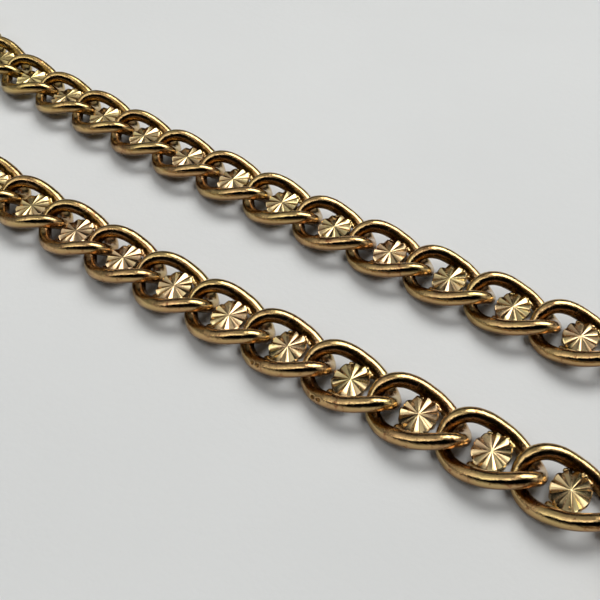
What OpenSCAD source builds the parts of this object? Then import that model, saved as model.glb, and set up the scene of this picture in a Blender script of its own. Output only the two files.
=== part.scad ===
// Pocket watch chain: twisted oval links, each with a star-cut plate across its middle,
// a T-bar at one end and a swivel hook at the other. Millimetres, +Z up.
// The chain lies flat in two runs side by side that join in a wide loop at -X.
// Origin: middle of the outline seen from above, on the surface the chain lies on.

/* [Links] */
// Distance between the middles of two neighbouring links
link_pitch = 9; // [8.8:0.05:9.05]
// Half of a link's length, measured to the middle of its wire
link_half_length = 5.62; // [5.6:0.01:5.7]
// Half of a link's width, measured to the middle of its wire
link_half_width = 3.65; // [3.5:0.05:3.9]
// Wire radius at the two ends of a link
wire_end_radius = 0.88; // [0.8:0.01:0.9]
// How much thicker in radius the wire is halfway along each side
wire_swell = 0.08; // [0:0.01:0.1]
// Twist of each end out of the flat, in degrees
link_twist = 42; // [38:1:46]
// Fullness of the oval: 1 is an ellipse, lower is squarer
oval_power = 0.87; // [0.82:0.01:1]
// Rings of facets round the oval
wire_stations = 22; // [16:2:28]
// Flat sides round the wire
wire_sides = 8; // [6:1:10]

/* [Star plates] */
// Half of a plate's length along the link
plate_half_length = 2.2; // [1.8:0.05:2.3]
// Half of a plate's width, from side wire to side wire
plate_half_width = 2.6; // [2.2:0.05:2.62]
// Height of the ridges above the middle of the link
plate_ridge_height = 0.5; // [0.4:0.05:0.7]
// Depth of the cut grooves at the rim
groove_depth = 0.26; // [0.1:0.02:0.4]
// Grooves round the star
groove_count = 11; // [9:2:13]

/* [Layout] */
// Links in the first run, from the T-bar
first_run = 11; // [8:1:11]
// Links in the second run, to the swivel
second_run = 12; // [8:1:12]
// Slight turn from link to link along the runs, in degrees
run_turn = 0.5; // [0:0.1:0.6]
// Turn at each of the first outward joints, in degrees
flare_in_turn = 13.5; // [12:0.1:14]
// Turn at each joint round the loop, in degrees
loop_turn = 18.17; // [18:0.01:18.3]
// Turn at each of the last outward joints, in degrees
flare_out_turn = 6.38; // [5:0.01:7]
// How far the T-bar's jump ring is turned away from the other run, in degrees
ring_bend = 10; // [0:1:12]
// How much farther the T-bar itself is turned, in degrees
bar_bend = 18; // [0:1:20]

/* [T-bar] */
// Length between the middles of the two end knobs
bar_length = 27; // [24:1:28]
// Radius of the bar in its middle
bar_radius = 1.4; // [1.2:0.05:1.4]
// Radius of the end knobs
knob_radius = 2.15; // [1.8:0.05:2.15]

/* [Rings and swivel] */
// Radius of a jump ring, to the middle of its wire
ring_radius = 2.5; // [2.5:0.05:2.6]
// Wire radius of a jump ring
ring_wire = 0.55; // [0.45:0.05:0.6]
// Radius of the T-bar's and the swivel's eye, to the middle of its wire
eye_radius = 2.1; // [2:0.05:2.2]
// Wire radius of an eye
eye_wire = 0.6; // [0.5:0.05:0.6]
// Radius of the hook's bend, to the middle of its wire
hook_radius = 6; // [5.8:0.1:6.4]
// Wire radius of the hook
hook_wire = 1.15; // [1:0.05:1.2]
// Radius of the swivel's barrel
barrel_radius = 2.1; // [2:0.05:2.2]
// Radius of the gate's pivot pin
pin_radius = 0.4; // [0.35:0.05:0.45]

/* [Hidden] */
loop_joints = 14;
flare_in_joints = 4;
flare_out_joints = 3;
clear = 0.16;
ring_tilt = 41;
eye_tilt = 45;
smooth = 48;
gold = [0.80, 0.60, 0.33];
star_gold = [0.86, 0.74, 0.42];
red_gold = [0.78, 0.54, 0.33];
steel = [0.62, 0.60, 0.58];

// turn at every joint from the first link to the last, clockwise negative
turns = concat(
    [for (i = [2:first_run]) -run_turn],
    [for (i = [1:flare_in_joints]) flare_in_turn],
    [for (i = [1:loop_joints]) -loop_turn],
    [for (i = [1:flare_out_joints]) flare_out_turn],
    [for (i = [2:second_run]) run_turn]
);
link_count = len(turns) + 1;
first_heading = 180 + run_turn * 4.5;

function sum_to(v, n) = n <= 0 ? 0 : v[n - 1] + sum_to(v, n - 1);
headings = [for (i = [0:link_count - 1]) first_heading + sum_to(turns, i)];

function along(h) = [cos(h), sin(h)];
function step_x(i) = link_pitch / 2 * (cos(headings[i - 1]) + cos(headings[i]));
function step_y(i) = link_pitch / 2 * (sin(headings[i - 1]) + sin(headings[i]));
steps_x = [for (i = [1:link_count - 1]) step_x(i)];
steps_y = [for (i = [1:link_count - 1]) step_y(i)];
raw = [for (i = [0:link_count - 1]) [sum_to(steps_x, i), sum_to(steps_y, i)]];

// along the end fittings, counted from the middle of the last link
ring_x = link_half_length - wire_end_radius - ring_wire - clear + ring_radius;
eye_x = ring_x + ring_radius - ring_wire - eye_wire - clear + eye_radius;
bar_x = eye_x + eye_radius + 2.07;
mouth_x = eye_x + eye_radius + 1.4;
plug_x = mouth_x + 2.9;
hook_x = plug_x + 2.9 + hook_radius;

// outline of the whole chain, to put the origin in its middle
half_length = link_half_length + wire_end_radius;
half_width = link_half_width + wire_end_radius + wire_swell;
function reach_x(h) = norm([half_length * cos(h), half_width * sin(h)]);
function reach_y(h) = norm([half_length * sin(h), half_width * cos(h)]);
hook_middle = raw[link_count - 1] + hook_x * along(headings[link_count - 1]);
high_x = hook_middle[0] + hook_radius + hook_wire;
low_x = min([for (i = [0:link_count - 1]) raw[i][0] - reach_x(headings[i])]);
high_y = max([for (i = [0:link_count - 1]) raw[i][1] + reach_y(headings[i])]);
low_y = min([for (i = [0:link_count - 1]) raw[i][1] - reach_y(headings[i])]);
middle = [(low_x + high_x) / 2, (low_y + high_y) / 2];
places = [for (r = raw) r - middle];

// the wire of one link: its path, its radius and its faces
function sgn(v) = v < 0 ? -1 : 1;
function soft(v) = sgn(v) * pow(abs(v), oval_power);
function wire_at(t) =
    let (r = link_half_width * soft(sin(t)), phi = -link_twist * cos(t))
    [link_half_length * soft(cos(t)), r * cos(phi), r * sin(phi)];
function wire_radius(t) = 1.03 * (wire_end_radius + wire_swell * pow(sin(t), 2));
function unit(v) = v / norm(v);
function wire_ring(t) =
    let (
        ahead = unit(wire_at(t + 1) - wire_at(t - 1)),
        side = unit(cross(ahead, [0, 0, 1])),
        up = cross(side, ahead),
        r = wire_radius(t)
    )
    [for (k = [0:wire_sides - 1])
        let (q = 360 * (k + 0.5) / wire_sides)
        wire_at(t) + r * (cos(q) * side + sin(q) * up)];
wire_points = [for (s = [0:wire_stations - 1]) each wire_ring(360 * (s + 0.5) / wire_stations)];
function cell(s, k) = (s % wire_stations) * wire_sides + (k % wire_sides);
wire_faces = [for (s = [0:wire_stations - 1], k = [0:wire_sides - 1])
    each [
        [cell(s, k), cell(s + 1, k + 1), cell(s + 1, k)],
        [cell(s, k), cell(s, k + 1), cell(s + 1, k + 1)]
    ]];
wire_top = max([for (w = wire_points) w[2]]);
lie = wire_top;

// the star plate: a thick oval disc, cut with radial grooves on both faces
rim = 2 * groove_count;
function rim_at(k) =
    let (
        t = 360 * (k + 0.5) / rim,
        pull = k % 2 == 0 ? 1 : 0.965,
        c = cos(t),
        s = sin(t)
    )
    pull * [plate_half_length * sgn(c) * pow(abs(c), 0.9), plate_half_width * sgn(s) * pow(abs(s), 0.9)];
function rim_height(k) = k % 2 == 0 ? plate_ridge_height : plate_ridge_height - groove_depth;
plate_points = concat(
    [for (k = [0:rim - 1]) [rim_at(k)[0], rim_at(k)[1], rim_height(k)]],
    [for (k = [0:rim - 1]) [rim_at(k)[0], rim_at(k)[1], -rim_height(k)]],
    [[0, 0, plate_ridge_height - groove_depth / 2]],
    [[0, 0, groove_depth / 2 - plate_ridge_height]]
);
function next_rim(k) = (k + 1) % rim;
plate_faces = [for (k = [0:rim - 1])
    each [
        [2 * rim, next_rim(k), k],
        [2 * rim + 1, rim + k, rim + next_rim(k)],
        [k, next_rim(k), rim + next_rim(k)],
        [k, rim + next_rim(k), rim + k]
    ]];

function number(i) = str(i < 10 ? "0" : "", i);
link_names = [for (i = [1:link_count]) str("link_", number(i))];

// ---- frames ----

module at_link(i) {
    translate([places[i][0], places[i][1], lie])
        rotate([0, 0, headings[i]])
            children();
}

// turn about an upright axis through a point on X
module turned(x, angle) {
    translate([x, 0, 0])
        rotate([0, 0, angle])
            translate([-x, 0, 0])
                children();
}

// X points outwards from the first link
module at_bar_ring() {
    at_link(0)
        rotate([0, 0, 180])
            turned(link_half_length, -ring_bend)
                children();
}

module at_bar_end() {
    at_bar_ring()
        turned(ring_x + ring_radius - ring_wire - clear / 2, -bar_bend)
            children();
}

// X points outwards from the last link
module at_hook_end() {
    at_link(link_count - 1)
        children();
}

// ---- pieces ----

module link() {
    color(gold)
        polyhedron(points = wire_points, faces = wire_faces, convexity = 6);
    color(star_gold)
        polyhedron(points = plate_points, faces = plate_faces, convexity = 4);
}

module wire_loop(radius, wire) {
    rotate_extrude($fn = smooth)
        translate([radius, 0])
            circle(r = wire, $fn = 24);
}

module jump_ring() {
    color(red_gold)
        translate([ring_x, 0, 0])
            rotate([ring_tilt, 0, 0])
                wire_loop(ring_radius, ring_wire);
}

module eye() {
    translate([eye_x, 0, 0])
        rotate([-eye_tilt, 0, 0])
            wire_loop(eye_radius, eye_wire);
}

// turned bar, slimmer towards its ends, with a tenon for each knob
module bar_rod() {
    half = bar_length / 2;
    tenon = half - knob_radius * 0.55;
    color(gold)
        translate([bar_x, 0, 0])
            rotate([90, 0, 0])
                rotate_extrude($fn = smooth)
                    polygon([
                        [0, -half + 0.4], [0.75, -half + 0.4], [0.75, -tenon], [1.05, -tenon],
                        [bar_radius, -3.4], [bar_radius, 3.4],
                        [1.05, tenon], [0.75, tenon], [0.75, half - 0.4], [0, half - 0.4]
                    ]);
}

// sleeve with three beads, and the eye standing on it
module bar_sleeve() {
    color(red_gold)
        difference() {
            union() {
                eye();
                translate([bar_x, 0, 0])
                    rotate([90, 0, 0])
                        rotate_extrude($fn = smooth)
                            polygon([
                                [0.4, -2.6], [1.85, -2.6], [2.05, -2.3], [2.05, -2.0], [1.8, -1.7],
                                [1.8, -0.8], [2.1, -0.5], [2.1, 0.5], [1.8, 0.8], [1.8, 1.7],
                                [2.05, 2.0], [2.05, 2.3], [1.85, 2.6], [0.4, 2.6]
                            ]);
            }
            translate([bar_x, 0, 0])
                rotate([90, 0, 0])
                    cylinder(r = bar_radius + 0.02, h = 8, center = true, $fn = smooth);
        }
}

// turned knob with a finial and a blind socket for the bar's tenon; side is 1 or -1
knob_flat = knob_radius * 0.55 - 0.02;
knob_curve = [for (q = [-33:11:66]) [knob_radius * cos(q), knob_radius * sin(q)]];
module bar_knob(side) {
    color(gold)
        translate([bar_x, side * bar_length / 2, 0])
            rotate([-90 * side, 0, 0])
                rotate_extrude($fn = smooth)
                    polygon(concat(
                        [[0, -0.3], [0.77, -0.3], [0.77, -knob_flat], [knob_radius * 0.82, -knob_flat]],
                        knob_curve,
                        [[0.8, knob_radius - 0.1], [0.6, knob_radius + 0.3], [0, knob_radius + 0.5]]
                    ));
}

// eye, shank and the head that turns inside the barrel
module swivel_eye_piece() {
    color(red_gold) {
        union() {
            eye();
            translate([eye_x + eye_radius, 0, 0])
                rotate([0, 90, 0])
                    cylinder(r = 0.85, h = 3.6, $fn = smooth);
            translate([eye_x + eye_radius + 0.35, 0, 0])
                rotate([0, 90, 0])
                    cylinder(r = 1.25, h = 0.6, $fn = smooth);
            translate([eye_x + eye_radius + 3.1, 0, 0])
                rotate([0, 90, 0])
                    cylinder(r = 1.3, h = 0.7, $fn = smooth);
        }
    }
}

// hollow barrel: narrow mouth round the shank, wide inside for the head and the hook's plug
module swivel_barrel_piece() {
    color(gold)
        translate([mouth_x, 0, 0])
            rotate([0, 90, 0])
                rotate_extrude($fn = smooth)
                    polygon([
                        [0.9, 0], [1.7, 0], [barrel_radius, 0.4], [barrel_radius, 1.0],
                        [1.85, 1.3], [1.85, 3.2], [barrel_radius, 3.5], [barrel_radius, 4.2],
                        [1.9, 4.5], [1.45, 4.5], [1.45, 1.6], [0.9, 1.6]
                    ]);
}

// ring-shaped wire from one angle to another round the hook's centre
module bend(from, to, wire) {
    rotate([0, 0, from])
        rotate_extrude(angle = to - from, $fn = 64)
            translate([hook_radius, 0])
                circle(r = wire, $fn = 32);
}

gate_angle = 210;
tip_angle = -32;
pivot = [hook_x + hook_radius * cos(gate_angle), hook_radius * sin(gate_angle)];
tip = [hook_x + hook_radius * cos(tip_angle), hook_radius * sin(tip_angle)];
gate_end = [tip[0] - 1.2, tip[1] + 1.95];
gate_slope = atan2(gate_end[1] - pivot[1], gate_end[0] - pivot[0]);
gate_length = norm(gate_end - pivot);

module hook_piece() {
    color(gold)
        difference() {
            union() {
                translate([plug_x, 0, 0])
                    rotate([0, 90, 0])
                        cylinder(r = 1.43, h = 1.62, $fn = smooth);
                translate([plug_x + 1.62, 0, 0])
                    rotate([0, 90, 0])
                        cylinder(r = 1.6, h = 1.4, $fn = smooth);
                translate([hook_x, 0, 0])
                    bend(tip_angle, gate_angle, hook_wire);
                translate([tip[0], tip[1], 0])
                    sphere(r = hook_wire + 0.3, $fn = 32);
                translate([pivot[0], pivot[1], -hook_wire - 0.1])
                    cylinder(r = 1.35, h = 2 * hook_wire + 0.2, $fn = smooth);
            }
            translate([pivot[0], pivot[1], -0.5])
                cylinder(r = 1.75, h = 1, $fn = smooth);
            translate([pivot[0], pivot[1], -3])
                cylinder(r = pin_radius + 0.02, h = 6, $fn = smooth);
        }
}

module gate_piece() {
    color(gold)
        difference() {
            union() {
                translate([pivot[0], pivot[1], -0.42])
                    cylinder(r = 1.2, h = 0.84, $fn = smooth);
                translate([pivot[0], pivot[1], 0])
                    rotate([0, 0, gate_slope])
                        translate([1.25, 0, 0])
                            cube([2.5, 1.3, 0.84], center = true);
                translate([pivot[0], pivot[1], 0])
                    rotate([0, 0, gate_slope])
                        translate([2.0, 0, 0])
                            rotate([0, 90, 0])
                                cylinder(r1 = 0.95, r2 = 0.72, h = gate_length - 2.0, $fn = smooth);
                translate([pivot[0], pivot[1], 0])
                    rotate([0, 0, gate_slope])
                        translate([3.6, -1.35, 0])
                            sphere(r = 0.75, $fn = 32);
            }
            translate([pivot[0], pivot[1], -3])
                cylinder(r = pin_radius + 0.04, h = 6, $fn = smooth);
        }
}

module gate_pin_piece() {
    color(steel)
        translate([pivot[0], pivot[1], -hook_wire - 0.2])
            cylinder(r = pin_radius, h = 2 * hook_wire + 0.4, $fn = smooth);
}

// ---- drawing ----

for (i = [0:link_count - 1]) {
    at_link(i) link();
}
at_bar_end() bar_rod();  // bar
at_bar_end() bar_sleeve();  // bar_collar
at_bar_end() bar_knob(-1);  // bar_knob_front
at_bar_end() bar_knob(1);  // bar_knob_back
at_bar_ring() jump_ring();  // jump_ring_bar
at_hook_end() jump_ring();  // jump_ring_hook
at_hook_end() swivel_eye_piece();  // swivel_eye
at_hook_end() swivel_barrel_piece();  // swivel_barrel
at_hook_end() hook_piece();  // hook
at_hook_end() gate_piece();  // gate
at_hook_end() gate_pin_piece();  // gate_pin
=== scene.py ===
"""Looks of the pocket watch chain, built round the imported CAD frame.

Every link is a swept twisted wire, a star-cut plate and its solder, riding on the link's own body.
"""

import math
import random

import bmesh
import bpy
import numpy as np
from mathutils import Matrix, Vector


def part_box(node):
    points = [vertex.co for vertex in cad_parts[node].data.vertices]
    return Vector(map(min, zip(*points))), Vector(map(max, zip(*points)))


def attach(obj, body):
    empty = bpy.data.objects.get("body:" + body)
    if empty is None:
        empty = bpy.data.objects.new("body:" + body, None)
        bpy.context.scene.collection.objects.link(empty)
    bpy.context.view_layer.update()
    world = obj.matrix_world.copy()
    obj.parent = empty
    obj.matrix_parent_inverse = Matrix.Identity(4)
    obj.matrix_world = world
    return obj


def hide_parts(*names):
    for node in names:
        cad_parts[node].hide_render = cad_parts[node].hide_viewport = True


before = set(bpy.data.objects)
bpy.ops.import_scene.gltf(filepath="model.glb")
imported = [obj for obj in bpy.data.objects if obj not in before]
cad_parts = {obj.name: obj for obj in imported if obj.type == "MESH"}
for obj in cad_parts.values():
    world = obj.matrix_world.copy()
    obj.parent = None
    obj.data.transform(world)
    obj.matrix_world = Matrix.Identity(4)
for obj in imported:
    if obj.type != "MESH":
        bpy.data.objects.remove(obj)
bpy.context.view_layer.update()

MM = 0.001
sin, cos, pi = math.sin, math.cos, math.pi
rad = math.radians

# ---- sizes, as in the CAD source, in millimetres ----

HALF_LENGTH, HALF_WIDTH = 5.62, 3.65
WIRE_END, WIRE_SWELL = 0.88, 0.08
TWIST, POWER = 42.0, 0.87
PLATE_X, PLATE_Y, PLATE_Z = 2.2, 2.6, 0.5
GROOVES, GROOVE_DEPTH = 11, 0.26
PLATE_LEAN = 3.5
RUN_TURN, LOOP_TURN, FLARE_IN, FLARE_OUT = 0.5, 18.17, 13.5, 6.38
RING_BEND, BAR_BEND = 10.0, 18.0
RING_R, RING_W, EYE_R, EYE_W, CLEAR = 2.5, 0.55, 2.1, 0.6, 0.16
RING_TILT, EYE_TILT = 41.0, 45.0
BAR_LENGTH, BAR_R, KNOB_R = 27.0, 1.4, 2.15
HOOK_R, HOOK_W, BARREL_R, PIN_R = 6.0, 1.15, 2.1, 0.4
RING_X = HALF_LENGTH - WIRE_END - RING_W - CLEAR + RING_R
EYE_X = RING_X + RING_R - RING_W - EYE_W - CLEAR + EYE_R
BAR_X = EYE_X + EYE_R + 2.07
MOUTH_X = EYE_X + EYE_R + 1.4
PLUG_X = MOUTH_X + 2.9
HOOK_X = PLUG_X + 2.9 + HOOK_R
GATE_ANGLE, TIP_ANGLE = 210.0, -32.0

# ---- where the links are ----

turns = [-RUN_TURN] * 10 + [FLARE_IN] * 4 + [-LOOP_TURN] * 14 + [FLARE_OUT] * 3 + [RUN_TURN] * 11
headings = [180 + RUN_TURN * 4.5]
for turn in turns:
    headings.append(headings[-1] + turn)
LINKS = len(headings)


def link_name(i):
    return f"link_{i + 1:02d}"


def link_matrix(i):
    low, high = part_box(link_name(i))
    return Matrix.Translation((low + high) / 2) @ Matrix.Rotation(rad(headings[i]), 4, "Z")


def shift(x, y=0.0, z=0.0):
    return Matrix.Translation((x * MM, y * MM, z * MM))


def spin(degrees, axis):
    return Matrix.Rotation(rad(degrees), 4, axis)


def turned(x, degrees):
    return shift(x) @ spin(degrees, "Z") @ shift(-x)


at_bar_ring = link_matrix(0) @ spin(180, "Z") @ turned(HALF_LENGTH, -RING_BEND)
at_bar_end = at_bar_ring @ turned(RING_X + RING_R - RING_W - CLEAR / 2, -BAR_BEND)
at_hook_end = link_matrix(LINKS - 1)

# ---- camera ----


CAMERA_PLACE = (78.48, -59.68, 80.85)  # mm
CAMERA_AZIMUTH, CAMERA_DIP, CAMERA_ROLL = 124.005, 46.105, 0.722  # degrees
CAMERA_LENS = 51.0


def make_camera():
    azimuth, elevation, roll = rad(CAMERA_AZIMUTH), rad(CAMERA_DIP), rad(CAMERA_ROLL)
    ahead = Vector((cos(azimuth) * cos(elevation), sin(azimuth) * cos(elevation), -sin(elevation)))
    side = ahead.cross(Vector((0, 0, 1))).normalized()
    up = side.cross(ahead)
    right = cos(roll) * side + sin(roll) * up
    top = cos(roll) * up - sin(roll) * side
    data = bpy.data.cameras.new("camera")
    data.sensor_fit = "HORIZONTAL"
    data.sensor_width = 36.0
    data.lens = CAMERA_LENS
    data.clip_start = 0.002
    data.clip_end = 20
    cam = bpy.data.objects.new("camera", data)
    bpy.context.scene.collection.objects.link(cam)
    place = Vector(CAMERA_PLACE) * MM
    turn = Matrix((right, top, -ahead)).transposed().to_4x4()
    cam.matrix_world = Matrix.Translation(place) @ turn
    bpy.context.scene.camera = cam


make_camera()

# ---- node helpers ----


class Nodes:
    """Short way to build a node tree."""

    def __init__(self, tree):
        self.tree = tree
        tree.nodes.clear()

    def add(self, kind, inputs=None, **settings):
        node = self.tree.nodes.new(kind)
        for key, value in settings.items():
            setattr(node, key, value)
        for key, value in (inputs or {}).items():
            self.put(node.inputs[key], value)
        return node

    def put(self, socket, value):
        if isinstance(value, bpy.types.NodeSocket):
            self.tree.links.new(value, socket)
        elif isinstance(value, bpy.types.Node):
            self.tree.links.new(value.outputs[0], socket)
        else:
            socket.default_value = value

    def math(self, operation, a, b=0.0, clamp=False):
        node = self.add("ShaderNodeMath", {0: a, 1: b}, operation=operation)
        node.use_clamp = clamp
        return node.outputs[0]

    def noise(self, where, scale, detail, rough):
        node = self.add(
            "ShaderNodeTexNoise",
            {"Vector": where, "Scale": scale, "Detail": detail, "Roughness": rough},
        )
        return node.outputs[0]

    def spread(self, value, low, high, to_low=0.0, to_high=1.0):
        node = self.add(
            "ShaderNodeMapRange",
            {"Value": value, "From Min": low, "From Max": high, "To Min": to_low, "To Max": to_high},
        )
        node.clamp = True
        return node.outputs[0]

    def mix(self, share, a, b):
        node = self.add("ShaderNodeMix", data_type="RGBA")
        self.put(node.inputs[0], share)
        self.put(node.inputs[6], a)
        self.put(node.inputs[7], b)
        return node.outputs[2]

    def dot(self, where, direction):
        node = self.add("ShaderNodeVectorMath", {0: where, 1: direction}, operation="DOT_PRODUCT")
        return node.outputs["Value"]

    def attribute(self, name):
        return self.add("ShaderNodeAttribute", attribute_name=name).outputs["Fac"]

    def stretched(self, where, x, y, z):
        node = self.add("ShaderNodeMapping", {"Vector": where, "Scale": (x, y, z)})
        return node.outputs[0]


def colour(r, g, b):
    return (r, g, b, 1.0)


# grime and painted shade on gold in three steps, each as near and far tone; the far tones, towards -X, are
# painted yellower and brighter for the warmer light there
COPPER_NEAR, COPPER_FAR = colour(0.38, 0.210, 0.095), colour(0.38, 0.28, 0.10)
BROWN_NEAR, BROWN_FAR = colour(0.155, 0.076, 0.006), colour(0.23, 0.150, 0.028)
CRUST_AND_SHADE = colour(0.060, 0.022, 0.001)
# painted light: where towards -X the gold is painted yellower and brighter, and by how much
YELLOW_FULL_X, YELLOW_NONE_X, YELLOW_SHARE = -0.050, 0.0, 0.75
YELLOWER = (1.14, 1.16, 0.88)


def metal(name, light, deep, tarnish, rough, speck=0.5, wobble=1.0, grain=1.0, lines=0.0):
    """Worn polished metal: light and deep tones, tarnish specks, scratches, and grime with painted shade
    where the mesh says so; gold painted yellower and brighter towards -X.

    speck, wobble, grain and lines scale the tarnish specks, the waviness, the fine relief and the cut lines.
    """
    made = bpy.data.materials.new(name)
    made.use_nodes = True
    n = Nodes(made.node_tree)
    here = n.add("ShaderNodeTexCoord").outputs["Object"]
    patch = n.noise(here, 210.0, 3.0, 0.55)
    tone = n.mix(n.spread(patch, 0.38, 0.64), colour(*light), colour(*deep))
    # painted light: yellower, brighter gold towards -X stands in for warmer, brighter light on that side
    east = n.add("ShaderNodeSeparateXYZ", {"Vector": here}).outputs["X"]
    painted_warm_light = n.spread(east, YELLOW_FULL_X, YELLOW_NONE_X, YELLOW_SHARE, 0.0)
    tone = n.mix(painted_warm_light, tone, colour(*(value * more for value, more in zip(light, YELLOWER))))
    fine = n.noise(here, 1500.0, 5.0, 0.7)
    spots = n.spread(n.math("MULTIPLY", fine, n.spread(patch, 0.3, 0.7, 0.85, 1.15)), 0.57, 0.68)
    spots = n.math("MULTIPLY", spots, speck)
    tone = n.mix(spots, tone, colour(*tarnish))
    grime_and_shade = n.attribute("grime_and_shade")
    patchy = n.spread(n.noise(here, 1100.0, 4.0, 0.6), 0.35, 0.65, 0.72, 1.0)
    grimed_and_shaded = n.math("MULTIPLY", grime_and_shade, patchy, clamp=True)
    # grime and painted shade laid on in steps: copper, then brown, then a near-black crust
    tone = n.mix(n.spread(grimed_and_shaded, 0.0, 0.40), tone, n.mix(painted_warm_light, COPPER_NEAR, COPPER_FAR))
    tone = n.mix(n.spread(grimed_and_shaded, 0.30, 0.95), tone, n.mix(painted_warm_light, BROWN_NEAR, BROWN_FAR))
    tone = n.mix(n.spread(grimed_and_shaded, 0.78, 0.98), tone, CRUST_AND_SHADE)
    # roughness: a polished base with dull patches, scratches and the grime-and-painted-shade mask
    along = n.noise(n.stretched(here, 300.0, 5200.0, 5200.0), 1.0, 3.0, 0.6)
    dull = n.spread(n.noise(here, 520.0, 4.0, 0.6), 0.40, 0.80, rough, rough + 0.10)
    dull = n.math("ADD", dull, n.spread(along, 0.55, 0.8, 0.0, 0.10))
    dull = n.math("ADD", dull, n.math("MULTIPLY", grimed_and_shaded, 0.19))
    dull = n.math("ADD", dull, n.math("MULTIPLY", spots, 0.18), clamp=True)
    # relief: hand-polished waviness, grain and fine scratches
    wavy = n.math("MULTIPLY", n.noise(here, 620.0, 2.0, 0.45), 0.030 * wobble)
    small = n.math("MULTIPLY", fine, 0.0035 * grain)
    scratch = n.math("MULTIPLY", along, 0.0012 * grain)
    relief = n.math("ADD", n.math("ADD", wavy, small), scratch)
    if lines:
        along_cut = {"W": n.attribute("cut"), "Scale": 1.0, "Detail": 3.0}
        cut = n.add("ShaderNodeTexNoise", along_cut, noise_dimensions="1D")
        relief = n.math("ADD", relief, n.math("MULTIPLY", cut.outputs[0], 0.004 * lines))
    bump = n.add("ShaderNodeBump", {"Height": relief, "Strength": 1.0, "Distance": 0.001})
    shader = n.add("ShaderNodeBsdfPrincipled", {"Base Color": tone, "Roughness": dull, "Normal": bump})
    shader.inputs["Metallic"].default_value = 1.0
    out = n.add("ShaderNodeOutputMaterial")
    n.put(out.inputs["Surface"], shader)
    return made


wire_gold = metal(
    "wire_gold", light=(0.58, 0.42, 0.175), deep=(0.56, 0.35, 0.16), tarnish=(0.22, 0.06, 0.02),
    rough=0.075, speck=0.8, wobble=1.8, grain=11.0,
)
star_gold = metal(
    "star_gold", light=(0.64, 0.52, 0.25), deep=(0.60, 0.42, 0.25), tarnish=(0.32, 0.18, 0.08),
    rough=0.15, speck=0.45, wobble=0.35, grain=1.2, lines=1.0,
)
solder_gold = metal(
    "solder_gold", light=(0.55, 0.40, 0.17), deep=(0.50, 0.31, 0.14), tarnish=(0.16, 0.06, 0.03),
    rough=0.20, speck=0.8, wobble=1.4, grain=3.0,
)
ring_gold = metal(
    "ring_gold", light=(0.56, 0.38, 0.21), deep=(0.52, 0.32, 0.18), tarnish=(0.22, 0.08, 0.04),
    rough=0.15, speck=0.5, grain=3.0,
)
fitting_gold = metal(
    "fitting_gold", light=(0.56, 0.40, 0.21), deep=(0.52, 0.34, 0.18), tarnish=(0.22, 0.08, 0.04),
    rough=0.14, speck=0.45, grain=3.0,
)
pin_steel = metal(
    "pin_steel", light=(0.50, 0.48, 0.46), deep=(0.42, 0.39, 0.37), tarnish=(0.20, 0.13, 0.09),
    rough=0.24, speck=0.5, wobble=0.5,
)

# ---- mesh helpers ----


def face_outwards(mesh):
    bm = bmesh.new()
    bm.from_mesh(mesh)
    bmesh.ops.recalc_face_normals(bm, faces=bm.faces)
    bm.to_mesh(mesh)
    bm.free()


def unit(value):
    """The value, held between 0 and 1."""
    return min(1.0, max(0.0, value))


def make_piece(name, verts, faces, material, sharp=30.0, matrix=None, values=None):
    """A mesh object from points in mm, with smooth faces and edges sharp above an angle.

    values holds float attributes, one number per vertex.
    """
    mesh = bpy.data.meshes.new(name)
    points = np.asarray(verts, float) * MM
    if matrix is not None:
        m = np.array(matrix)
        points = points @ m[:3, :3].T + m[:3, 3]
    mesh.from_pydata(points.tolist(), [], [tuple(int(v) for v in f) for f in faces])
    mesh.validate()
    face_outwards(mesh)
    for key, numbers in (values or {}).items():
        layer = mesh.attributes.new(key, "FLOAT", "POINT")
        layer.data.foreach_set("value", np.asarray(numbers, np.float32))
    mesh.polygons.foreach_set("use_smooth", [True] * len(mesh.polygons))
    mesh.set_sharp_from_angle(angle=rad(sharp))
    mesh.materials.append(material)
    mesh.update()
    made = bpy.data.objects.new(name, mesh)
    bpy.context.scene.collection.objects.link(made)
    return made


def grid_faces(rings, sides, closed):
    """Faces of a tube of rings x sides points; a closed tube joins its last ring to its first."""
    faces = []
    for s in range(rings if closed else rings - 1):
        t = (s + 1) % rings
        for k in range(sides):
            j = (k + 1) % sides
            faces.append((s * sides + k, t * sides + k, t * sides + j, s * sides + j))
    return faces


# ---- the wire of a link ----

STATIONS, SIDES = 96, 24
PUNCH_LONG, PUNCH_WIDE, PUNCH_DEEP, PUNCH_FINER = 0.36, 0.27, 0.10, 4
PUNCH_REACH = 0.6  # square of the distance beyond which a punch leaves the wire alone
# link index -> centres of its punches, in the link's own frame
PUNCHED = {3: [(2.70, 4.10, -0.52), (1.76, 4.33, -0.10)], 4: [(2.40, 4.06, -0.20), (1.45, 4.29, 0.16)]}


def soft(v):
    """Flattens a sine, to square the oval off a little."""
    return math.copysign(abs(v) ** POWER, v)


def wire_at(t):
    """The wire's centre line at t: an oval whose two halves are twisted against each other."""
    r = HALF_WIDTH * soft(sin(t))
    phi = -rad(TWIST) * cos(t)
    return np.array([HALF_LENGTH * soft(cos(t)), r * cos(phi), r * sin(phi)])


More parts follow.
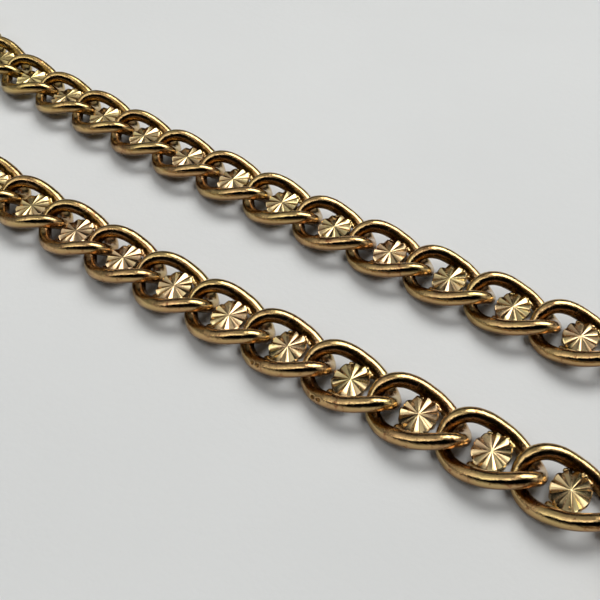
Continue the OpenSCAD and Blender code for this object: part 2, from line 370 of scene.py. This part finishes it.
def wire_mesh(rng, punches=(), finer=1):
    """Points, faces and grime with painted shade of one link's wire, slightly uneven as hand work is.

    punches are the centres of blank oval dents; finer multiplies the grid of points to give them their shape.
    """
    stations, sides = STATIONS * finer, SIDES * finer
    phases = [rng.uniform(0, 2 * pi) for _ in range(4)]
    points, grime_and_shade = [], []
    for s in range(stations):
        t = 2 * pi * (s + 0.5) / stations
        centre = wire_at(t)
        ahead = wire_at(t + 0.02) - wire_at(t - 0.02)
        ahead /= np.linalg.norm(ahead)
        side = np.cross(ahead, (0, 0, 1.0))
        side /= np.linalg.norm(side)
        up = np.cross(side, ahead)
        r = WIRE_END + WIRE_SWELL * sin(t) ** 2
        r *= 1 + 0.006 * sin(3 * t + phases[0]) + 0.005 * sin(7 * t + phases[1])
        inward = -centre / np.linalg.norm(centre)
        for k in range(sides):
            q = 2 * pi * k / sides
            out = cos(q) * side + sin(q) * up
            uneven = 1 + 0.005 * sin(2 * q + 5 * t + phases[2])
            point = centre + r * uneven * out
            inner = max(0.0, float(out @ inward))
            end = abs(cos(t)) ** 6
            seat = unit(1.5 - abs(cos(t)) / 0.24)
            down = -float(out[2])
            # grime and painted shade: inner faces darker, more so towards the ends, and darkest in the
            # crevice beside the plate
            dirt_and_shade = inner ** 1.2 * (0.66 + 0.5 * end) + unit(1.5 * inner) * seat
            # painted shade: the downward side and the wire's ends are darkened, dimming the floor's
            # reflection there
            dirt_and_shade += 0.42 * unit(0.50 + down) + 0.50 * unit(1.5 * down)
            dirt_and_shade += 0.60 * end * max(0.0, 0.6 + down)
            for spot in punches:
                away = point - np.array(spot)
                if away @ away < PUNCH_REACH:
                    along, across = float(away @ ahead), float(away @ np.cross(out, ahead))
                    oval = math.hypot(along / PUNCH_LONG, across / PUNCH_WIDE)
                    sunk = unit((1.12 - oval) / 0.30)
                    point = point - PUNCH_DEEP * sunk * out
                    # dents darkened inside: dirt and painted shade
                    dirt_and_shade += 1.3 * sunk
            points.append(point)
            grime_and_shade.append(min(1.0, dirt_and_shade))
    return points, grid_faces(stations, sides, True), grime_and_shade


# ---- the star plate ----

STEPS = 5  # spokes between a ridge and the next valley
SCALLOP, FLAT_ENDS, CHAMFER = 0.042, 0.045, 0.10


def plate_mesh(rng, lean):
    """A thick oval disc, cut with radial grooves on both faces; ridges and valleys meet in sharp lines."""
    tilt_x, tilt_y = lean + rng.uniform(-1.8, 1.8), rng.uniform(-2.2, 2.2)
    first = rng.uniform(0, 2 * pi)
    depth = GROOVE_DEPTH * rng.uniform(0.95, 1.2)
    marks = []
    for g in range(2 * GROOVES):
        jitter = rng.uniform(-0.13, 0.13) * pi / GROOVES
        marks.append(first + pi * g / GROOVES + jitter)
    marks.append(marks[0] + 2 * pi)
    spokes = []
    for g in range(2 * GROOVES):
        for k in range(STEPS):
            f = k / STEPS
            up = f if g % 2 == 0 else 1 - f
            spokes.append((marks[g] + (marks[g + 1] - marks[g]) * f, up))
    rings = [0.03, 0.26, 0.5, 0.74, 0.945]
    count = len(spokes)
    points, cut, grime_and_shade = [], [], []
    for face in (1, -1):
        for rho in rings:
            for angle, up in spokes:
                edge = 1 - SCALLOP * (1 - up) ** 2
                edge *= 1 - FLAT_ENDS * abs(sin(angle)) ** 8
                z = PLATE_Z - depth * rho ** 1.2 * (1 - up) - 0.030 * rho * sin(pi * up) - 0.03 * rho ** 2
                x, y = edge * PLATE_X * cos(angle), edge * PLATE_Y * sin(angle)
                points.append([rho * x, rho * y, face * z])
                cut.append(angle * 24)
                # darker along the groove valleys, fading towards the hub, and a little at the rim
                grime_and_shade.append(0.55 * max(0.0, 1 - up * 5) * min(1.0, 2 * rho))
    for face in (1, -1):
        for angle, up in spokes:
            edge = 1 - SCALLOP * (1 - up) ** 2
            z = PLATE_Z - depth * (1 - up) - CHAMFER
            points.append([edge * PLATE_X * cos(angle), edge * PLATE_Y * sin(angle), face * z])
            cut.append(angle * 24)
            grime_and_shade.append(0.1)
    faces = []
    total = len(rings)
    for side in range(2):
        base = side * total * count
        for r in range(total - 1):
            for k in range(count):
                j = (k + 1) % count
                a, b = base + r * count + k, base + r * count + j
                quad = (a, a + count, b + count, b)
                faces.append(quad if side == 0 else quad[::-1])
        hub = tuple(base + k for k in range(count))
        faces.append(hub if side == 0 else hub[::-1])
        rim = 2 * total * count + side * count
        last = base + (total - 1) * count
        for k in range(count):
            j = (k + 1) % count
            quad = (last + k, rim + k, rim + j, last + j)
            faces.append(quad if side == 0 else quad[::-1])
    top, low = 2 * total * count, 2 * total * count + count
    for k in range(count):
        j = (k + 1) % count
        faces.append((top + k, low + k, low + j, top + j))
    turn = np.array((spin(tilt_x, "X") @ spin(tilt_y, "Y")).to_3x3())
    points = np.array(points) @ turn.T
    return points, faces, cut, grime_and_shade


# ---- solder between plate and wire ----


WIRE_Y = 2.78  # where the wire's inner side is, beside the plate
SOLDER_VOXEL = 0.08


def solder_mesh(rng, smooth_quarter):
    """Solder from the plate's rim to the wire: a smooth web in one quarter, uneven lumps in the other three.

    Quarters 0 and 1 are on the upper face, 2 and 3 on the lower face.
    """
    bm = bmesh.new()
    for quarter in range(4):
        flip_x = 1 if quarter in (0, 2) else -1
        flip_y = 1 if quarter in (0, 3) else -1
        flip_z = 1 if quarter in (0, 1) else -1
        smooth = quarter == smooth_quarter
        lumps = 22 if smooth else rng.randint(8, 11)
        first, last = (-0.9, 1.4) if smooth else (0.38, 1.75) if quarter < 2 else (0.75, 1.35)
        for k in range(lumps):
            x = first + (last - first) * k / (lumps - 1)
            rim = 0.95 * PLATE_Y * math.sqrt(max(0.0, 1 - (x / PLATE_X) ** 2))
            y = (rim + WIRE_Y) / 2
            z = 0.06 - 0.20 * max(0.0, x) - (0.12 * x * x if smooth and x > 0 else 0.0)
            size = 0.5 * (WIRE_Y - rim) + 0.14
            if smooth:
                z -= 0.10
            elif quarter < 2:
                x += rng.uniform(-0.06, 0.06)
                y += rng.uniform(-0.02, 0.10)
                z += rng.uniform(-0.02, 0.20)
                size = min(size, 0.37) * rng.uniform(0.75, 1.05)
            else:
                x += rng.uniform(-0.06, 0.06)
                y += rng.uniform(-0.06, 0.06)
                z += rng.uniform(0.14, 0.38)
                size = min(size, 0.34) * rng.uniform(0.70, 1.05)
            squash = Matrix.Diagonal((0.8, 1.0, 0.62 if smooth else 0.9, 1.0))
            place = Matrix.Translation((flip_x * x, flip_y * y, flip_z * z)) @ squash
            bmesh.ops.create_icosphere(bm, subdivisions=2, radius=size, matrix=place)
    mesh = bpy.data.meshes.new("lumps")
    bm.to_mesh(mesh)
    bm.free()
    made = bpy.data.objects.new("lumps", mesh)
    bpy.context.scene.collection.objects.link(made)
    join = made.modifiers.new("join", "REMESH")
    join.mode = "VOXEL"
    join.voxel_size = SOLDER_VOXEL
    ease = made.modifiers.new("ease", "SMOOTH")
    ease.factor = 0.6
    ease.iterations = 5
    graph = bpy.context.evaluated_depsgraph_get()
    done = bpy.data.meshes.new_from_object(made.evaluated_get(graph))
    points = [list(v.co) for v in done.vertices]
    faces = [tuple(p.vertices) for p in done.polygons]
    bpy.data.objects.remove(made)
    return points, faces


def build_links():
    rng = random.Random(41)
    # three for each quarter that can hold the web, shared out in turn; a link's heading picks the quarter
    solders = [[solder_mesh(rng, quarter) for _ in range(3)] for quarter in (0, 1)]
    for i in range(LINKS):
        body, node, number = f"{link_name(i)}_body", link_name(i), f"{i + 1:02d}"
        matrix = link_matrix(i)
        punches = PUNCHED.get(i, ())
        points, faces, grime_and_shade = wire_mesh(rng, punches, PUNCH_FINER if punches else 1)
        wire = make_piece(f"wire_{number}", points, faces, wire_gold, 60, matrix, {"grime_and_shade": grime_and_shade})
        towards_back = cos(rad(headings[i])) > 0
        points, faces, cut, grime_and_shade = plate_mesh(rng, PLATE_LEAN if towards_back else -PLATE_LEAN)
        values = {"cut": cut, "grime_and_shade": grime_and_shade}
        star = make_piece(f"star_{number}", points, faces, star_gold, 14, matrix, values)
        points, faces = solders[towards_back][i % 3]
        flow = make_piece(f"solder_{number}", points, faces, solder_gold, 60, matrix)
        for piece in (wire, star, flow):
            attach(piece, body)
        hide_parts(node)


build_links()

# ---- turned, bent and forged pieces of the two ends ----


def rounded(profile, radius, closed=False, steps=4):
    """The same outline with its corners rounded off; one more value marks how hollow each corner is."""
    points = [np.array(p, float) for p in profile]
    out = []
    for i, corner in enumerate(points):
        if not closed and i in (0, len(points) - 1):
            out.append((*corner, 0.0))
            continue
        back, ahead = points[i - 1] - corner, points[(i + 1) % len(points)] - corner
        far_back, far_ahead = np.linalg.norm(back), np.linalg.norm(ahead)
        cut = min(radius, 0.45 * far_back, 0.45 * far_ahead)
        start, end = corner + back * cut / far_back, corner + ahead * cut / far_ahead
        hollow = (back[0] * ahead[1] - back[1] * ahead[0]) / (far_back * far_ahead)
        for k in range(steps + 1):
            f = k / steps
            out.append((*((1 - f) ** 2 * start + 2 * f * (1 - f) * corner + f * f * end), hollow))
    return out


def lathe(profile, around=72, closed=False, flute=None):
    """Turns (radius, distance, hollow) points about X into points, faces and a darkening value, set in the
    hollows.

    flute gives how deep the surface is cut at a distance and an angle.
    """
    points, grime_and_shade = [], []
    for r, x, hollow in profile:
        for k in range(around):
            q = 2 * pi * k / around
            wide = max(r, 0.02)
            if flute:
                wide -= flute(x, q)
            points.append((x, wide * cos(q), wide * sin(q)))
            grime_and_shade.append(0.7 * max(0.0, -hollow))
    faces = []
    rings = len(profile)
    for s in range(rings if closed else rings - 1):
        t = (s + 1) % rings
        for k in range(around):
            j = (k + 1) % around
            faces.append((s * around + k, s * around + j, t * around + j, t * around + k))
    if not closed:
        faces.append(tuple(range(around))[::-1])
        faces.append(tuple((rings - 1) * around + k for k in range(around)))
    return points, faces, grime_and_shade


def ring_mesh(radius, wire, x, tilt, seam=None, stations=144, sides=28, phase=0.0):
    """A round wire bent to a ring round a point on X and tilted about X, with a closed seam at one angle."""
    lean = np.array((Matrix.Rotation(rad(tilt), 3, "X")))
    points, grime_and_shade = [], []
    for s in range(stations):
        t = 2 * pi * s / stations
        off = 9.0 if seam is None else abs((math.degrees(t) - seam + 180) % 360 - 180)
        nick = 0.06 * math.exp(-((off / 1.6) ** 2)) - 0.02 * math.exp(-((off / 7.0) ** 2))
        r = wire * (1 - nick + 0.006 * sin(3 * t + phase))
        for k in range(sides):
            q = 2 * pi * k / sides
            p = np.array(((radius + r * cos(q)) * cos(t), (radius + r * cos(q)) * sin(t), r * sin(q)))
            points.append(lean @ p + (x, 0, 0))
            # darker at the seam and on the ring's inner side
            grime_and_shade.append(0.9 * math.exp(-((off / 2.2) ** 2)) + 0.16 * max(0.0, -cos(q)) ** 2)
    return points, grid_faces(stations, sides, True), grime_and_shade


def tube(centres, radii, sides=28, flat=1.0):
    """A tube in the XY plane through centres, with a flat cap at both ends; flat squeezes it along Z."""
    centres = [np.array(c, float) for c in centres]
    points = []
    for s, centre in enumerate(centres):
        ahead = centres[min(s + 1, len(centres) - 1)] - centres[max(s - 1, 0)]
        ahead /= np.linalg.norm(ahead)
        side = np.array((-ahead[1], ahead[0], 0.0))
        for k in range(sides):
            q = 2 * pi * k / sides
            points.append(centre + radii[s] * (cos(q) * side + flat * sin(q) * np.array((0, 0, 1.0))))
    faces = grid_faces(len(centres), sides, False)
    faces.append(tuple(range(sides)))
    faces.append(tuple((len(centres) - 1) * sides + k for k in range(sides))[::-1])
    return points, faces


def ball(centre, radius, squeeze=1.0):
    bm = bmesh.new()
    bmesh.ops.create_icosphere(bm, subdivisions=4, radius=radius)
    points = [(v.co.x + centre[0], v.co.y + centre[1], v.co.z * squeeze + centre[2]) for v in bm.verts]
    faces = [tuple(v.index for v in f.verts) for f in bm.faces]
    bm.free()
    return points, faces


def disc(centre, radius, low, high, around=56):
    """A flat round solid with its axis along Z."""
    angles = [2 * pi * k / around for k in range(around)]
    rim = [(centre[0] + radius * cos(q), centre[1] + radius * sin(q)) for q in angles]
    points = [(x, y, z) for z in (low, high) for x, y in rim]
    faces = [(k, (k + 1) % around, around + (k + 1) % around, around + k) for k in range(around)]
    faces += [tuple(range(around))[::-1], tuple(range(around, 2 * around))]
    return points, faces


def loose(name, points, faces):
    mesh = bpy.data.meshes.new(name)
    mesh.from_pydata([tuple(p) for p in points], [], faces)
    face_outwards(mesh)
    made = bpy.data.objects.new(name, mesh)
    bpy.context.scene.collection.objects.link(made)
    return made


def forged(solids, voxel, ease, cuts=()):
    """Several closed solids melted into one skin and smoothed, then cut by other solids."""
    points, faces = [], []
    for more_points, more_faces in solids:
        faces += [tuple(v + len(points) for v in f) for f in more_faces]
        points += list(more_points)
    work = loose("work", points, faces)
    melt = work.modifiers.new("melt", "REMESH")
    melt.mode = "VOXEL"
    melt.voxel_size = voxel
    calm = work.modifiers.new("calm", "SMOOTH")
    calm.factor = 0.5
    calm.iterations = ease
    tools = []
    for k, (cut_points, cut_faces) in enumerate(cuts):
        tool = loose(f"tool_{k}", cut_points, cut_faces)
        tools.append(tool)
        bite = work.modifiers.new(f"bite_{k}", "BOOLEAN")
        bite.operation = "DIFFERENCE"
        bite.solver = "EXACT"
        bite.object = tool
    graph = bpy.context.evaluated_depsgraph_get()
    done = bpy.data.meshes.new_from_object(work.evaluated_get(graph))
    points = [list(v.co) for v in done.vertices]
    faces = [tuple(p.vertices) for p in done.polygons]
    for made in [work, *tools]:
        bpy.data.objects.remove(made)
    return points, faces


PIVOT = (HOOK_X + HOOK_R * cos(rad(GATE_ANGLE)), HOOK_R * sin(rad(GATE_ANGLE)))
TIP = (HOOK_X + HOOK_R * cos(rad(TIP_ANGLE)), HOOK_R * sin(rad(TIP_ANGLE)))
GATE_END = (TIP[0] - 1.2, TIP[1] + 1.95)


def coin_edge(bands, teeth, deep):
    """Fine teeth round a turned piece, only within the given stretches of its length."""
    def cut(x, q):
        for low, high in bands:
            if low <= x <= high:
                return deep * (0.5 - 0.5 * cos(teeth * q))
        return 0.0
    return cut


def build_bar():
    half = BAR_LENGTH / 2
    tenon = half - KNOB_R * 0.55
    side = spin(90, "Z")
    here = at_bar_end @ shift(BAR_X) @ side
    right = [(BAR_R, 2.8), (BAR_R, 3.3), (BAR_R - 0.12, 3.45), (BAR_R - 0.02, 3.75), (1.05, tenon - 1.5),
             (1.14, tenon - 1.3), (1.14, tenon - 0.9), (1.0, tenon - 0.75), (1.0, tenon - 0.5),
             (1.2, tenon - 0.3), (1.2, tenon - 0.02), (0.75, tenon), (0.75, half - 0.4), (0.0, half - 0.4)]
    outline = [(r, -x) for r, x in right[::-1]] + right
    points, faces, grime_and_shade = lathe(rounded(outline, 0.10), 80)
    bar = make_piece("t_bar_rod", points, faces, fitting_gold, 40, here, {"grime_and_shade": grime_and_shade})
    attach(bar, "t_bar")
    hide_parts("bar")
    for name, way in (("front", -1), ("back", 1)):
        flat = KNOB_R * 0.55 - 0.02
        curve = [(KNOB_R * cos(rad(q)), KNOB_R * sin(rad(q))) for q in range(-33, 67, 6)]
        outline = [(0, -0.3), (0.77, -0.3), (0.77, -flat), (KNOB_R * 0.80, -flat)] + curve[:7]
        outline += [(KNOB_R * 0.965, 0.30), (KNOB_R * 0.965, 0.42)] + [p for p in curve if p[1] > 0.5]
        outline += [(0.85, KNOB_R - 0.16), (0.62, KNOB_R - 0.05), (0.68, KNOB_R + 0.2), (0.45, KNOB_R + 0.42),
                    (0, KNOB_R + 0.5)]
        points, faces, grime_and_shade = lathe(rounded(outline, 0.09), 80)
        turn = spin(90, "Z") if way == 1 else spin(-90, "Z")
        place = at_bar_end @ shift(BAR_X, way * BAR_LENGTH / 2) @ turn
        knob = make_piece(f"t_bar_knob_{name}", points, faces, fitting_gold, 40, place, {"grime_and_shade": grime_and_shade})
        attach(knob, "t_bar")
        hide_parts(f"bar_knob_{name}")
    half_sleeve = [(1.8, 0.75), (1.8, 1.0), (1.84, 1.25), (1.8, 1.5), (1.8, 1.75), (2.05, 2.0), (2.05, 2.3),
                   (1.85, 2.6), (BAR_R + 0.02, 2.6)]
    outline = [(r, -x) for r, x in half_sleeve[::-1]] + [(2.1, -0.5), (2.1, 0.5)] + half_sleeve
    edge = coin_edge([(-2.31, -1.99), (1.99, 2.31)], 40, 0.05)
    points, faces, grime_and_shade = lathe(rounded(outline, 0.10, closed=True), 240, True, edge)
    sleeve = make_piece("t_bar_sleeve", points, faces, ring_gold, 40, here, {"grime_and_shade": grime_and_shade})
    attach(sleeve, "t_bar")
    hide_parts("bar_collar")
    points, faces, grime_and_shade = ring_mesh(EYE_R, EYE_W, EYE_X, -EYE_TILT, None, phase=1.1)
    eye = make_piece("t_bar_eye", points, faces, ring_gold, 60, at_bar_end, {"grime_and_shade": grime_and_shade})
    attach(eye, "t_bar")


def build_rings():
    for name, body, place, seam in (("jump_ring_bar", "bar_ring", at_bar_ring, 62.0),
                                    ("jump_ring_hook", "hook_ring", at_hook_end, 241.0)):
        points, faces, grime_and_shade = ring_mesh(RING_R, RING_W, RING_X, RING_TILT, seam, phase=seam)
        ring = make_piece(f"{name}_wire", points, faces, ring_gold, 60, place, {"grime_and_shade": grime_and_shade})
        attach(ring, body)
        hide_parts(name)


def build_swivel():
    here = at_hook_end
    points, faces, grime_and_shade = ring_mesh(EYE_R, EYE_W, EYE_X, -EYE_TILT, None, phase=2.3)
    eye = make_piece("swivel_eye_loop", points, faces, ring_gold, 60, here, {"grime_and_shade": grime_and_shade})
    start = EYE_X + EYE_R
    outline = [(0, -0.35), (0.62, -0.35), (0.92, 0.15), (0.95, 0.32), (1.25, 0.38), (1.25, 0.95),
               (0.85, 1.02), (0.85, 3.1), (1.3, 3.14), (1.3, 3.78), (0, 3.8)]
    points, faces, grime_and_shade = lathe(rounded(outline, 0.12), 80)
    shank = make_piece("swivel_shank", points, faces, ring_gold, 40, here @ shift(start), {"grime_and_shade": grime_and_shade})
    for piece in (eye, shank):
        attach(piece, "swivel")
    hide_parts("swivel_eye")
    outline = [(0.9, 0), (1.7, 0), (BARREL_R, 0.4), (BARREL_R, 1.0), (1.88, 1.16), (1.94, 1.3), (1.82, 1.42),
               (1.82, 1.9), (1.88, 2.1), (1.88, 2.4), (1.82, 2.6), (1.82, 3.1), (1.94, 3.22), (1.88, 3.36),
               (BARREL_R, 3.5), (BARREL_R, 4.2), (1.9, 4.5), (1.45, 4.5), (1.45, 1.6), (0.9, 1.6)]
    edge = coin_edge([(0.42, 0.98), (3.52, 4.18)], 44, 0.05)
    points, faces, grime_and_shade = lathe(rounded(outline, 0.08, closed=True), 264, True, edge)
    place = here @ shift(MOUTH_X)
    barrel = make_piece("barrel_shell", points, faces, fitting_gold, 40, place, {"grime_and_shade": grime_and_shade})
    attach(barrel, "dog_hook")
    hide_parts("swivel_barrel")
    outline = [(0, 0), (1.43, 0), (1.43, 1.62), (1.6, 1.66), (1.6, 1.95), (1.5, 2.1), (1.6, 2.28), (1.6, 2.6),
               (1.32, 3.02), (0, 3.02)]
    points, faces, grime_and_shade = lathe(rounded(outline, 0.08), 80)
    plug = make_piece("hook_plug", points, faces, fitting_gold, 40, here @ shift(PLUG_X), {"grime_and_shade": grime_and_shade})
    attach(plug, "dog_hook")


def build_hook():
    bend, radii = [], []
    for k in range(91):
        angle = TIP_ANGLE + (GATE_ANGLE - TIP_ANGLE) * k / 90
        bend.append((HOOK_X + HOOK_R * cos(rad(angle)), HOOK_R * sin(rad(angle)), 0.0))
        slim = 0.13 * max(0.0, 1 - (angle - TIP_ANGLE) / 32.0) ** 1.5
        radii.append(HOOK_W * (1 - slim))
    shoulder = [(PLUG_X + 2.3 + 0.1 * k, 0.0, 0.0) for k in range(12)]
    solids = [
        tube(bend, radii, 48),
        tube(shoulder, [1.42 - 0.018 * k for k in range(12)], 48),
        ball((*TIP, 0.0), HOOK_W + 0.3, 0.94),
        disc(PIVOT, 1.35, -HOOK_W - 0.1, HOOK_W + 0.1),
    ]
    cuts = [disc(PIVOT, 1.75, -0.5, 0.5), disc(PIVOT, PIN_R + 0.02, -3, 3, 32)]
    points, faces = forged(solids, 0.07, 7, cuts)
    around = np.array(points)[:, :2] - PIVOT
    low = np.abs(np.array(points)[:, 2])
    grime_and_shade = 0.8 * (np.hypot(*around.T) < 1.8) * (low < 0.55)
    hook = make_piece("hook_bow", points, faces, fitting_gold, 40, at_hook_end, {"grime_and_shade": grime_and_shade})
    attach(hook, "dog_hook")
    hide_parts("hook")


def build_gate():
    way = np.array((GATE_END[0] - PIVOT[0], GATE_END[1] - PIVOT[1]))
    length = np.linalg.norm(way)
    way /= length
    across = np.array((-way[1], way[0]))

    def spot(a, b, z=0.0):
        return (PIVOT[0] + a * way[0] + b * across[0], PIVOT[1] + a * way[1] + b * across[1], z)

    body = [spot(1.9 + (length - 1.98) * k / 24, 0) for k in range(25)]
    swell = [0.60 + 0.33 * min(1.0, k / 3.0) - 0.21 * (k / 24) for k in range(25)]
    neck = [spot(0.25 * k, 0) for k in range(11)]
    thumb = [spot(3.6 - 0.18 * k, -0.35 - 0.1 * k) for k in range(6)]
    solids = [
        disc(PIVOT, 1.2, -0.42, 0.42),
        tube(neck, [0.65] * 11, 36, 0.64),
        tube(body, swell, 40),
        tube(thumb, [0.62 - 0.02 * k for k in range(6)], 32),
        ball(spot(3.6, -1.35), 0.75),
    ]
    cuts = [disc(PIVOT, PIN_R + 0.04, -3, 3, 32)]
    points, faces = forged(solids, 0.05, 5, cuts)
    points = np.array(points)
    grime_and_shade = 0.6 * (np.hypot(points[:, 0] - PIVOT[0], points[:, 1] - PIVOT[1]) < 0.8)
    gate = make_piece("hook_gate_lever", points, faces, fitting_gold, 40, at_hook_end, {"grime_and_shade": grime_and_shade})
    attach(gate, "hook_gate")
    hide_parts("gate")
    reach = HOOK_W + 0.2
    dome = [(PIN_R * sin(rad(q)), -reach + 0.16 * (1 - cos(rad(q)))) for q in range(0, 91, 15)]
    outline = dome + [(r, -x) for r, x in dome[::-1]]
    profile = [(r, x, 0.0) for r, x in outline]
    points, faces, grime_and_shade = lathe(profile, 40)
    place = at_hook_end @ shift(*PIVOT) @ spin(-90, "Y")
    pin = make_piece("hook_gate_pin", points, faces, pin_steel, 40, place)
    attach(pin, "dog_hook")
    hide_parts("gate_pin")


build_bar()
build_rings()
build_swivel()
build_hook()
build_gate()

# ---- floor and light ----

TOWARDS_CAMERA, ASIDE, UP = (0.559, -0.829, 0), (0.829, 0.559, 0), (0, 0, 1)
FLOOR_HALF = 4.0
PAPER_DARK, PAPER_LIGHT = colour(0.775, 0.785, 0.775), colour(0.80, 0.81, 0.80)
PAPER_PAINTED_SHADOW, PAPER_SPECK = colour(0.3, 0.3, 0.3), colour(0.45, 0.43, 0.40)

# Soft-edged panes of light. psi is 0 at the horizon on the camera's side, 90 overhead and 180 behind;
# aside runs from -1 to 1 across. Each pane: psi it rises and falls over, the same for aside, radiance.
PANES = (
    ((70, 73), (78, 84), (-0.99, -0.93), (-0.15, 0.15), 3.7),
    ((76, 84), (92, 98), (-0.97, -0.85), (0.80, 0.92), 0.5),
    ((84, 92), (104, 122), (-0.97, -0.85), (-0.55, -0.30), 0.7),
    ((92, 98), (136, 150), (-0.97, -0.85), (0.80, 0.92), 0.36),
    ((94, 100), (122, 132), (0.08, 0.22), (0.72, 0.86), 6.5),
    ((40, 50), (88, 96), (0.78, 0.88), (1.5, 1.6), 0.8),
)
FULL_LIGHT = 10.0  # the sum of panes that FULL_COLOUR stands for
FULL_COLOUR = colour(9.48, 9.48, 9.44)


def make_floor():
    """A pale paper floor, faintly mottled, with painted shadow darkening it a little towards the camera."""
    half = FLOOR_HALF
    corners = [(-half, -half, 0), (half, -half, 0), (half, half, 0), (-half, half, 0)]
    mesh = bpy.data.meshes.new("floor")
    mesh.from_pydata(corners, [], [(0, 1, 2, 3)])
    paper = bpy.data.materials.new("paper")
    paper.use_nodes = True
    n = Nodes(paper.node_tree)
    here = n.add("ShaderNodeTexCoord").outputs["Object"]
    tone = n.spread(n.noise(here, 28.0, 4.0, 0.5), 0.3, 0.7)
    shade = n.mix(tone, PAPER_DARK, PAPER_LIGHT)
    # painted shadow: the floor darkened towards the camera, for the shade on that side
    near = n.dot(here, TOWARDS_CAMERA)
    shade = n.mix(n.spread(near, -0.03, 0.05, 0.0, 0.12), shade, PAPER_PAINTED_SHADOW)
    speck = n.spread(n.noise(here, 2600.0, 2.0, 0.5), 0.70, 0.80, 0.0, 0.10)
    shade = n.mix(speck, shade, PAPER_SPECK)
    relief = {"Height": n.noise(here, 900.0, 4.0, 0.6), "Strength": 0.10, "Distance": 0.0004}
    bump = n.add("ShaderNodeBump", relief)
    shader = n.add("ShaderNodeBsdfPrincipled", {"Base Color": shade, "Normal": bump})
    shader.inputs["Roughness"].default_value = 0.75
    shader.inputs["Specular IOR Level"].default_value = 0.2
    out = n.add("ShaderNodeOutputMaterial")
    n.put(out.inputs["Surface"], shader)
    mesh.materials.append(paper)
    floor = bpy.data.objects.new("floor", mesh)
    bpy.context.scene.collection.objects.link(floor)


def make_world():
    """A plain room: panes of light overhead and behind, and a pale wall low down all round."""
    world = bpy.data.worlds.new("room")
    bpy.context.scene.world = world
    world.use_nodes = True
    n = Nodes(world.node_tree)
    way = n.add("ShaderNodeTexCoord").outputs["Generated"]
    near, aside, height = n.dot(way, TOWARDS_CAMERA), n.dot(way, ASIDE), n.dot(way, UP)
    psi = n.math("MULTIPLY", n.math("ARCTAN2", height, near), 180 / pi)
    wall = n.spread(height, 0.10, 0.24, 1.0, 0.0)
    total = n.math("MULTIPLY", wall, n.spread(near, 0.2, 0.8, 0.40, 0.20))
    for rise, fall, left, right, radiance in PANES:
        tall = n.math("MULTIPLY", n.spread(psi, *rise), n.spread(psi, *fall, 1.0, 0.0))
        wide = n.math("MULTIPLY", n.spread(aside, *left), n.spread(aside, *right, 1.0, 0.0))
        pane = n.math("MULTIPLY", n.math("MULTIPLY", tall, wide), radiance)
        total = n.math("ADD", pane, total)
    shade = n.mix(n.math("MULTIPLY", total, 1 / FULL_LIGHT), colour(0, 0, 0), FULL_COLOUR)
    back = n.add("ShaderNodeBackground", {"Color": shade, "Strength": 1.0})
    out = n.add("ShaderNodeOutputWorld")
    n.put(out.inputs["Surface"], back)


make_floor()
make_world()

bpy.context.scene.view_settings.view_transform = "Standard"
